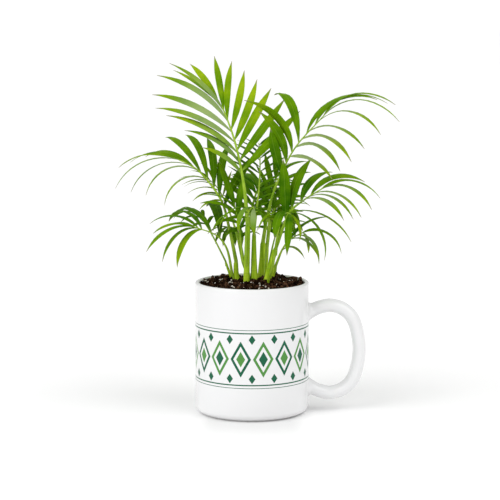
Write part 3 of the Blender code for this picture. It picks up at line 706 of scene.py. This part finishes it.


# fronds

# route: the stalk from its foot to its tip. root: where it leaves its cane. face: where its upper
# side looks. tone: from dark to bright green, partly the leaves' own tone and partly painted shade
# that darkens inner and back fronds. Each side holds the count of its leaflets, or a
# length for every one, and then their lengths, the share of the route where each grows, its angle
# from the stalk, how far it bends down to its tip and how far it rises out of the frond's plane, in
# degrees, how far its breadth turns level (0 to 1), its breadth, tone with painted shade, and
# painted
# sheen: values spread evenly from the first leaflet to the last.
fronds = {
    "frond_upper_left": {
        "route": ((-3.0, -6.0, 136.5), (-6, -2, 166), (-12, 7, 194), (-20, 15, 216),
                  (-24.5, 19.5, 223)),
        "root": (-3.0, -6.0, 131.0), "tone": 0.58,
        "face": (0.15, -0.85, 0.5), "width": 5.8, "radius": (1.6, 0.9, 0.6, 0.4),
        "right": {"count": 8, "lengths": (60, 45, 45), "stations": (0.41, 0.99),
                  "spread": (55, 35, 8), "bend": (0, -5, 25), "lift": (20, 20), "level": (0.1, 0.1),
                  "width": (6.2, 5.6, 4.4)},
        "left": {"count": 8, "lengths": (36, 64, 66, 50), "stations": (0.38, 0.98),
                 "spread": (28, 30, 5), "bend": (45, 55, 25), "lift": (20, 20), "level": (0.2, 0.1),
                 "width": (4.4, 5.6, 4.6), "sheen": (0.2, 0.3, 0.2, 0.5, 0.7, 0.6, 0.4, 0.1)},
    },
    "frond_mid_left": {
        "route": ((-11.5, 1.5, 109.5), (-16, -1, 132), (-22, 3, 153), (-36, 13, 171),
                  (-46, 20, 177.5), (-54.5, 25, 181)),
        "root": (-11.5, 1.5, 105.0), "tone": 0.54,
        "face": (0.25, -0.62, 0.74), "width": 5.0, "radius": (1.4, 0.9, 0.6, 0.4),
        "right": {"count": 8, "lengths": (50, 64, 58), "stations": (0.43, 0.99),
                  "spread": (36, 26, 4), "bend": (40, 65, 60), "lift": (20, 35, 10),
                  "level": (0, 0.2, 0.3, 0.6), "width": (6.6, 4),
                  "tone": (0.24, 0.34, 0.42, 0.52, 0.58)},
        "left": {"count": 4, "lengths": (46, 56), "stations": (0.68, 0.98), "spread": (50, 25),
                 "bend": (120, 80), "lift": (34, 24), "level": (0.8, 1), "width": (4.6, 4.6),
                 "sheen": (0.7, 0.5)},
    },
    "frond_low_left": {
        "route": ((-14.25, 1.1, 100), (-18, -4, 119), (-26, -11, 130), (-41, -22, 137)),
        "root": (-11.8, 1.9, 94.0), "tone": 0.52,
        "face": (0.15, -0.62, 0.77), "width": 4.4, "radius": (1.1, 0.8, 0.5, 0.4),
        "right": {"count": 5, "lengths": (58, 42, 36), "stations": (0.56, 0.87, 0.98),
                  "spread": (62, 70, 10), "bend": (100, 120, 65), "lift": (16, 26),
                  "level": (0.2, 0.9), "width": (8.6, 5), "tone": (0.2, 0.24, 0.3, 0.4, 0.5)},
        "left": {"count": 3, "lengths": (42, 50), "stations": (0.86, 0.98), "spread": (20, 8),
                 "bend": (95, 65), "lift": (14, 20), "level": (1, 1), "width": (4.8, 4.4)},
    },
    "frond_upper_right": {
        "route": ((8.0, 9.0, 122.5), (11, 3, 142), (17, -5, 164), (30, -17, 192), (50, -30, 216)),
        "root": (7.9, 9.2, 117.0), "tone": 0.66,
        "face": (-0.35, -0.7, 0.62), "width": 6.0, "radius": (1.5, 0.9, 0.6, 0.4),
        "right": {"count": 6, "lengths": (50, 72), "stations": (0.63, 0.99), "spread": (40, 5),
                  "bend": (65, 90), "lift": (0, 20, 60), "level": (1, 1), "width": (5, 4.4),
                  "sheen": (0.7, 0.5)},
        "left": {"count": 7, "lengths": (34, 64, 62), "stations": (0.5, 0.99),
                 "spread": (34, 44, 8), "bend": (10, 105, 85), "lift": (30, 20, 15),
                 "level": (0, 0.3, 1), "width": (8.2, 4.6),
                 "tone": (0.26, 0.34, 0.42, 0.5, 0.5, 0.56)},
    },
    "frond_mid_right": {
        "route": ((17.1, -9.6, 120.5), (26, -14, 145), (37, -19, 156), (50, -26, 165)),
        "root": (16.7, -9.4, 115.0), "tone": 0.6,
        "face": (-0.25, -0.6, 0.76), "width": 5.4, "radius": (1.3, 0.9, 0.6, 0.4),
        "right": {"count": 4, "lengths": (55, 48), "stations": (0.58, 0.97), "spread": (20, 10),
                  "bend": (90, 80), "lift": (50, 12), "level": (1, 1), "width": (4.4, 4.4),
                  "sheen": (0.7, 0.4)},
        "left": {"count": 5, "lengths": (44, 38, 50), "stations": (0.36, 0.96),
                 "spread": (26, 50, 12), "bend": (0, 85, 95), "lift": (32, 24),
                 "level": (0, 0.2, 0.8), "width": (8, 8, 5.2), "tone": (0.2, 0.3, 0.4, 0.5)},
    },
    "frond_low_right": {
        "route": ((17.1, 5.0, 105.5), (22, 2, 118), (28, -2, 126), (38, -8, 132)),
        "root": (16.7, 5.1, 101.5), "tone": 0.5,
        "face": (-0.2, -0.62, 0.76), "width": 4.3, "radius": (1.1, 0.7, 0.5, 0.4),
        "right": {"count": 4, "lengths": (30, 48, 20), "stations": (0.3, 0.94),
                  "spread": (26, 10, 40), "bend": (90, 120), "lift": (20, 45, 20),
                  "width": (2.8, 4, 3.2), "sheen": (0.6, 0.4)},
        "left": {"lengths": (36, 40), "stations": (0.60, 0.91), "spread": (28, 11),
                 "bend": (70, 115), "lift": (16, 26), "width": (5.8, 4.2), "tone": (0.34, 0.52)},
    },
    "frond_centre": {
        "route": ((1.5, -1.9, 130.5), (3.5, 1, 148), (5.2, 6, 164), (5.8, 13, 180), (5, 20, 193)),
        "root": (1.5, -2.1, 126.0), "tone": 0.3,
        "face": (0.0, -0.92, 0.4), "width": 3.2, "radius": (1.0, 0.7, 0.5, 0.3),
        "right": {"lengths": (9, 13, 19, 24, 26, 26, 25, 23, 20, 16), "stations": (0.28, 0.97),
                  "spread": (58, 40), "bend": (10, 30), "lift": (0, 6)},
        "left": {"lengths": (18, 22, 25, 28, 29, 29, 27, 24, 20, 16), "stations": (0.27, 0.94),
                 "spread": (60, 40), "bend": (5, 30), "lift": (-4, 14)},
    },
    "frond_back": {
        "route": ((-4.0, 17.5, 117.5), (0, 28, 144), (4.5, 40, 158), (8, 50.5, 161),
                  (11, 59, 157.5)),
        "root": (-4.0, 17.4, 112.0), "tone": 0.3,
        "face": (0.0, -0.35, 0.94), "width": 7.0, "radius": (1.3, 0.8, 0.6, 0.4),
        "right": {"lengths": (24, 30, 34, 36, 37, 35, 32, 28), "stations": (0.34, 0.96),
                  "spread": (54, 20), "bend": (40, 90), "lift": (24, 24)},
        "left": {"lengths": (26, 32, 35, 36, 35, 32, 28, 25), "stations": (0.37, 0.92),
                 "spread": (50, 20), "bend": (40, 90), "lift": (24, 24)},
    },
    "frond_back_left": {
        "route": ((-6.5, 17.4, 106), (-12, 20, 130), (-20, 23, 151), (-26, 26, 161),
                  (-32, 30, 166)),
        "root": (-4.0, 17.2, 99.0), "tone": 0.7,
        "face": (0.25, -0.7, 0.66), "width": 2.8, "radius": (1.1, 0.7, 0.4, 0.3),
        "right": {"lengths": (22, 26, 26, 24), "stations": (0.74, 0.97), "spread": (40, 12),
                  "bend": (20, 50), "lift": (15, 15)},
        "left": {"lengths": (24, 26, 26, 25, 24, 23), "stations": (0.68, 0.99), "spread": (50, 22),
                 "bend": (80, 50), "lift": (15, 15)},
    },
    "frond_back_right": {
        "route": ((11.1, 22.1, 116.5), (14, 32, 136), (18, 44, 145), (22, 55, 143)),
        "root": (10.9, 21.9, 111.0), "tone": 0.36,
        "face": (-0.15, -0.4, 0.9), "width": 5.4, "radius": (1.2, 0.8, 0.5, 0.4),
        "right": {"lengths": (26, 30, 34, 34, 30), "stations": (0.40, 0.96),
                  "spread": (48, 20), "bend": (55, 95), "lift": (24, 24)},
        "left": {"lengths": (26, 28, 28, 24, 18), "stations": (0.44, 0.91), "spread": (48, 20),
                 "bend": (55, 95), "lift": (24, 24)},
    },
    "frond_inner_left": {
        "route": ((-6.9, -5.4, 112), (-8.4, -3.0, 128), (-10, -0.8, 140), (-12.5, 0.6, 150)),
        "root": (-4.0, -6.4, 105.0), "tone": 0.34,
        "face": (0.1, -0.8, 0.6), "width": 5.4, "radius": (1.0, 0.7, 0.5, 0.3),
        "right": {"lengths": (22, 30, 36), "stations": (0.50, 0.97), "spread": (24, 4),
                  "bend": (30, 20), "lift": (36, 34), "width": (4.6, 6.4)},
        "left": {"lengths": (16, 25, 31, 27), "stations": (0.5, 0.92), "spread": (50, 40, 32, 24),
                 "bend": (130, 120, 60, 60), "lift": (30, 30, 20, 20), "width": (6, 6.6, 6, 5)},
    },
    "frond_inner_right": {
        "route": ((9.7, 13.3, 108), (12, 14, 134), (14.5, 14.5, 154), (19, 18, 172)),
        "root": (6.8, 11.6, 101.0), "tone": 0.24,
        "face": (-0.1, -0.9, 0.42), "width": 5.6, "radius": (1.0, 0.7, 0.5, 0.3),
        "right": {"lengths": (27, 30, 31, 30, 26), "stations": (0.45, 0.95), "spread": (44, 20),
                  "bend": (50, 60), "lift": (4, 4)},
        "left": {"lengths": (20, 26, 30, 30, 26), "stations": (0.44, 0.90), "spread": (34, 16),
                 "bend": (10, 25), "lift": (4, 4)},
    },
    "frond_front_left": {
        "route": ((-4.2, -9.4, 112), (-4, -11, 134), (-2.5, -14, 146), (0, -20, 150.5),
                  (2, -26, 150)),
        "root": (-3.8, -6.8, 105.0), "tone": 0.42,
        "face": (0.0, 0.3, 0.95), "width": 4.8, "radius": (0.9, 0.6, 0.5, 0.3),
        "right": {"lengths": (26, 32, 33, 30, 24), "stations": (0.62, 0.97),
                  "spread": (82, 84, 72, 48, 18), "bend": (70, 90, 105, 110, 110), "lift": (20, 5),
                  "width": (5.2, 4.4), "tone": (0.3, 0.34, 0.38, 0.42, 0.5),
                  "sheen": (0, 0, 0, 0.6)},
        "left": {"lengths": (28, 30, 27, 22), "stations": (0.66, 0.94), "spread": (80, 84, 66, 34),
                 "bend": (60, 85, 100, 110), "lift": (20, 5), "width": (5.2, 4.4)},
    },
    "frond_front_right": {
        "route": ((15.0, -11.1, 108), (18, -14, 130), (21, -19, 143), (24, -26, 147.5),
                  (27, -32, 147)),
        "root": (12.4, -7.9, 100.0), "tone": 0.5,
        "face": (0.0, 0.35, 0.94), "width": 5.4, "radius": (0.9, 0.6, 0.5, 0.3),
        "right": {"lengths": (24, 28, 36, 40), "stations": (0.68, 0.97), "spread": (75, 62, 42, 34),
                  "bend": (110, 105, 100, 95), "lift": (15, 5), "width": (4.6, 5, 6.6, 5.4),
                  "tone": (0.5, 0.4, 0.14, 0.2)},
        "left": {"lengths": (57, 52, 24), "stations": (0.80, 0.95), "spread": (48, 36, 20),
                 "bend": (86, 115, 100), "lift": (15, 5), "level": (0.6, 0.6),
                 "width": (5.8, 5.2, 4)},
    },
    "frond_far_left": {
        "route": ((-19.1, 13.0, 107.5), (-24, 12.5, 117.5), (-30, 12, 129), (-36, 13, 138),
                  (-42, 14, 144)),
        "root": (-18.7, 13.0, 104.0), "tone": 0.4,
        "face": (0.35, -0.5, 0.8), "width": 3.6, "radius": (0.7, 0.6, 0.5, 0.3),
        "right": {"lengths": (16, 17, 16, 14), "stations": (0.66, 0.97), "spread": (48, 15),
                  "bend": (70, 90), "lift": (20, 20)},
        "left": {"lengths": (16, 20, 20), "stations": (0.70, 0.92), "spread": (48, 20),
                 "bend": (70, 90), "lift": (20, 20)},
    },
    "frond_far_right": {
        "route": ((12.1, 22.4, 102), (16, 28, 120), (20, 37, 131), (23, 48, 132)),
        "root": (9.6, 21.4, 96.0), "tone": 0.36,
        "face": (-0.2, -0.35, 0.9), "width": 5.2, "radius": (0.9, 0.6, 0.5, 0.3),
        "right": {"lengths": (22, 26, 28, 26), "stations": (0.50, 0.96), "spread": (50, 20),
                  "bend": (65, 95), "lift": (22, 22)},
        "left": {"lengths": (22, 26, 28, 24), "stations": (0.54, 0.91), "spread": (50, 20),
                 "bend": (65, 95), "lift": (22, 22)},
    },
    "frond_low_back": {
        "route": ((-5.0, 19.7, 101), (-8, 26, 118), (-12, 36, 128), (-15, 49, 128)),
        "root": (-3.3, 17.3, 95.0), "tone": 0.36,
        "face": (0.1, -0.3, 0.95), "width": 5.2, "radius": (0.9, 0.6, 0.5, 0.3),
        "right": {"lengths": (22, 26, 28, 24), "stations": (0.50, 0.96), "spread": (50, 22),
                  "bend": (75, 100), "lift": (18, 18)},
        "left": {"lengths": (22, 26, 28, 24), "stations": (0.55, 0.91), "spread": (50, 22),
                 "bend": (75, 100), "lift": (18, 18)},
    },
}
leaflet = {
    # breadth of the blade at equal steps from its base to its tip
    "outline": (0.12, 0.34, 0.58, 0.78, 0.91, 0.98, 1.0, 1.0, 0.94, 0.80, 0.56, 0.26, 0.02),
    "ridge": 0.11, "thickness": 0.05,
    # chance: twist in degrees, sway as a share of the length, tone and breadth
    "twist": 16, "sway": 0.035, "toneSpread": 0.14, "widthSpread": 0.07,
    "level": (0.6, 0.8), "turnedBy": 0.45, "straight": 0.01,
    # below this length, blades are narrower by a hundredth for each millimetre
    "shortLength": 40,
    # the blade's face: pleats, midrib, pale base, withered tip, and how far the painted sheen runs
    "pleats": 6, "ribHalf": (0.012, 0.05), "ribShare": 0.14, "paleBase": (0.0, 0.12),
    "witheredFrom": (0.88, 0.99), "witheredShare": 0.8, "paintedSheenEnd": (0.35, 0.85),
    "deep": (0.016, 0.093, 0.0004), "mid": (0.115, 0.250, 0.001), "bright": (0.32, 0.45, 0.006),
    # sheen: a painted sheen, the pale grey-green of light glancing off blades that face up
    "rib": (0.36, 0.52, 0.08), "tip": (0.30, 0.26, 0.16), "sheen": (0.34, 0.43, 0.19),
    "stalk": (0.40, 0.56, 0.06), "stalkDeep": (0.17, 0.34, 0.01),
}


def leafFinish():
    leaf = Finish("palmLeaf", {"Specular IOR Level": 0.02})
    blade = leaf.node("ShaderNodeUVMap", {"uv_map": "blade"})
    run, across, _ = leaf.split(blade)
    tone = leaf.node("ShaderNodeAttribute", {"attribute_name": "tone"}, output=2)
    sheen = leaf.node("ShaderNodeAttribute", {"attribute_name": "sheen"}, output=2)
    cloud = leaf.grain(leaf.place(), 0.09, 2.0)
    fine = leaf.grain(leaf.place(), 0.6, 3.0)
    # pleats run the length of the blade, and the midrib is a pale line
    pleat = (across * (math.tau * leaflet["pleats"])).wave() * 0.5 + 0.5
    # painted shade: the tone attribute also darkens leaflets that sit in shade deep in the plant
    share = (tone + (cloud - 0.5) * 0.7 + (fine - 0.5) * 0.15 + (pleat - 0.5) * 0.07
             + (run - 0.4) * 0.36)
    green = leaf.blendRamp(share, ((0.0, leaflet["deep"]), (0.5, leaflet["mid"]),
                                   (1.0, leaflet["bright"])))
    rib = 1 - abs(across - 0.5).ramp(*leaflet["ribHalf"])
    ribbed = leaf.mix(rib * leaflet["ribShare"], green, leaflet["rib"])
    base = (1 - run.ramp(*leaflet["paleBase"])) * 0.5
    based = leaf.mix(base, ribbed, leaflet["rib"])
    # painted sheen: the colour paled towards grey-green from the blade's base, standing in for
    # reflected light
    paintedSheenColour = leaf.mix(sheen * (1 - run.ramp(*leaflet["paintedSheenEnd"])), based, leaflet["sheen"])
    withered = run.ramp(*leaflet["witheredFrom"]) * leaflet["witheredShare"]
    leaf.drive(Base_Color=leaf.mix(withered, paintedSheenColour, leaflet["tip"]),
               Roughness=0.34 + 0.16 * fine + 0.05 * pleat)
    leaf.bump(pleat * 0.8 + rib * 0.5, 0.18, 0.6)
    return leaf


def stalkFinish():
    stalk = Finish("palmStalk", {"Specular IOR Level": 0.05})
    streak = stalk.grain(stalk.place((1, 1, 0.2)), 0.7, 3.0)
    cloud = stalk.grain(stalk.place(), 0.08, 2.0)
    share = (streak * 0.5 + cloud * 0.6).ramp(0.3, 0.8)
    stalk.drive(Base_Color=stalk.mix(share, leaflet["stalk"], leaflet["stalkDeep"]),
                Roughness=0.36 + 0.2 * streak)
    stalk.bump(streak, 0.1, 0.4)
    return stalk


def modelLeaflet():
    # one blade of unit length and unit breadth along X, copied for every leaflet
    outline = leaflet["outline"]
    steps = len(outline) - 1
    deselectAll()
    bpy.ops.mesh.primitive_grid_add(x_subdivisions=steps, y_subdivisions=2, size=1,
                                    location=(0.5, 0, 0))
    blade = bpy.context.object
    bpy.ops.object.transform_apply(location=True)
    blade.data.uv_layers[0].name = "blade"
    edit(blade)
    choose(blade, verts=lambda place: abs(place.y) < 0.01)
    bpy.ops.transform.translate(value=(0, 0, leaflet["ridge"]))
    for i, breadth in enumerate(outline):
        choose(blade, verts=lambda place: abs(place.x - i / steps) < 0.01)
        bpy.ops.transform.resize(value=(1, breadth, breadth), center_override=(i / steps, 0, 0))
    done()
    applyModifier(blade, "SOLIDIFY", thickness=leaflet["thickness"], offset=0)
    return blade


def leafletPlaces(frond):
    # every leaflet from foot to tip: share of the route, side, length, the angles, level, width,
    # tone with painted shade, and painted sheen
    places = []
    for side, sign in (("right", 1), ("left", -1)):
        row = frond[side]
        count = row.get("count", len(row["lengths"]))
        for i in range(count):
            share = i / (count - 1)
            length = between(row["lengths"], share)
            angles = [math.radians(between(row[kind], share))
                      for kind in ("spread", "bend", "lift")]
            level = between(row.get("level", leaflet["level"]), share)
            look = [between(row.get(kind, (usual, usual)), share) for kind, usual in
                    (("width", frond["width"]), ("tone", frond["tone"]), ("sheen", 0.0))]
            places.append((between(row["stations"], share), sign, length, *angles, level, *look))
    return sorted(places)


def growLeaflet(master, frond, line, place):
    station, sign, length, spread, bend, lift, levelled, width, tone, sheen = place
    point, tangent = along(line, station)
    across = tangent.cross(Vector(frond["face"]).normalized()).normalized()
    normal = across.cross(tangent)
    outward = across * sign * math.cos(lift) + normal * math.sin(lift)
    heading = tangent * math.cos(spread) + outward * math.sin(spread)
    # the blade bends down along an arc of a circle
    down = Vector((0, 0, -1))
    down = (down - heading * down.dot(heading)).normalized()
    bend = bend if abs(bend) > leaflet["straight"] else leaflet["straight"]
    # its breadth lies in the frond's plane where it grows and turns square to the arc further out
    wide = (tangent - heading * tangent.dot(heading)).normalized()
    level = heading.cross(down)
    level = level if level.dot(wide) > 0 else -level
    flip = -1 if heading.cross(wide).dot(normal) < 0 else 1
    twist = math.radians(leaflet["twist"]) * (rng.random() * 2 - 1)
    sway = leaflet["sway"] * (rng.random() * 2 - 1)
    tone += leaflet["toneSpread"] * (rng.random() * 2 - 1)
    width *= 1 + leaflet["widthSpread"] * (rng.random() * 2 - 1)
    width *= min(1.0, 1 + (length - leaflet["shortLength"]) / 100)

    blade = master.copy()
    blade.data = master.data.copy()
    bpy.context.scene.collection.objects.link(blade)
    for vert in blade.data.vertices:
        s, t, h = vert.co
        s = max(0.0, min(1.0, s))
        angle = bend * s
        way = heading * math.cos(angle) + down * math.sin(angle)
        reach = (heading * math.sin(angle) + down * (1 - math.cos(angle))) / bend
        centre = point + (reach + wide * sway * s * (1 - s) * 4) * length
        side = wide.lerp(level, levelled * min(1.0, s / leaflet["turnedBy"]))
        side = (side - way * side.dot(way)).normalized()
        up = way.cross(side) * flip
        turn = twist * s
        leaned = side * math.cos(turn) + up * math.sin(turn)
        raised = up * math.cos(turn) - side * math.sin(turn)
        vert.co = (centre + leaned * t * width + raised * h * width) * mm
    for name, value in (("tone", tone), ("sheen", sheen)):
        shade = blade.data.attributes.new(name, "FLOAT", "POINT")
        shade.data.foreach_set("value", [value] * len(blade.data.vertices))
    return blade


def buildFrond(node, frond, master, leaf, stalk):
    line = smoothLine(frond["route"])
    places = leafletPlaces(frond)
    rooted = [Vector(frond["root"]), *line]
    last = len(line) - 1
    radii = [frond["radius"][0]] + [between(frond["radius"], i / last) for i in range(last + 1)]
    rachis = sweep(node + "_stalk", rooted, radii, roundness=4)
    rachis.data.materials.append(leaf.material)
    rachis.data.materials.append(stalk.material)
    for face in rachis.data.polygons:
        face.material_index = 1
    blades = [growLeaflet(master, frond, line, place) for place in places]
    for blade in blades:
        blade.data.materials.append(leaf.material)
    pick(rachis, *blades)
    bpy.ops.object.join()
    piece = bpy.context.object
    piece.name = node + "_leaves"
    piece.data.name = piece.name
    edit(piece)
    bpy.ops.mesh.select_all(action="SELECT")
    bpy.ops.mesh.normals_make_consistent(inside=False)
    done()
    bpy.ops.object.shade_smooth_by_angle(angle=math.radians(40))
    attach(piece, "root")
    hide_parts(node)
    return len(piece.data.polygons)


buildStudio()
buildMug(glazeFinish())
buildSoil()
clearings = [(*cane["foot"], cane["radius"][0] * soil["canePlay"]) for cane in canes.values()]
scatter("soil_crumbs", soil["crumb"], [])
scatter("bark_chips", soil["bark"], clearings)
scatter("perlite_grains", soil["perlite"], clearings)
print("bark and perlite ready")
for node, cane in canes.items():
    buildCane(node, cane)
print("canes ready")
leafMaster = modelLeaflet()
leafMaterial, stalkMaterial = leafFinish(), stalkFinish()
faceCount = sum(buildFrond(node, frond, leafMaster, leafMaterial, stalkMaterial)
                for node, frond in fronds.items())
bpy.data.objects.remove(leafMaster, do_unlink=True)
print("fronds ready:", faceCount, "faces")
